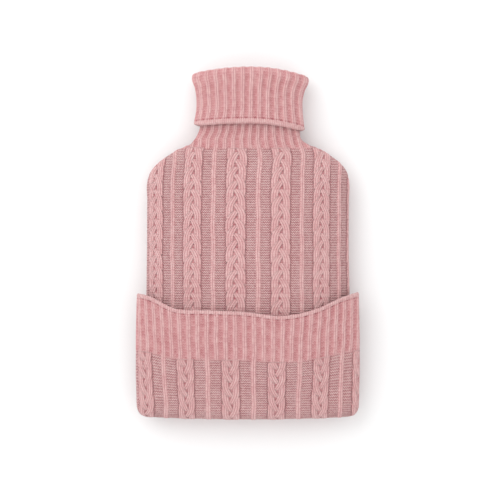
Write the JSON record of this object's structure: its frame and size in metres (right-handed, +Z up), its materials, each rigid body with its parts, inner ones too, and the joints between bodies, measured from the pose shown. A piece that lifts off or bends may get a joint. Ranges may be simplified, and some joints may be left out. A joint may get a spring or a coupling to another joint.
{
  "type": "hot water bottle cover",
  "caption": "Knitted cover for a hot water bottle: a hollow flat tube with a turned-down ribbed collar, a neck, a cabled body and a folded-up ribbed cuff at the foot.",
  "frame": {"origin": "bottom centre of the cover's box, on the surface that it lies on", "axes": "+X across the cover, +Y lengthwise up to the collar, +Z up from the surface to the front"},
  "size_m": [0.219, 0.3458, 0.0506],
  "materials": {
    "pink_knit": "soft matt knitted yarn"
  },
  "bodies": {
    "root": {"front_panel": "pink_knit", "back_panel": "pink_knit"}
  },
  "joints": []
}
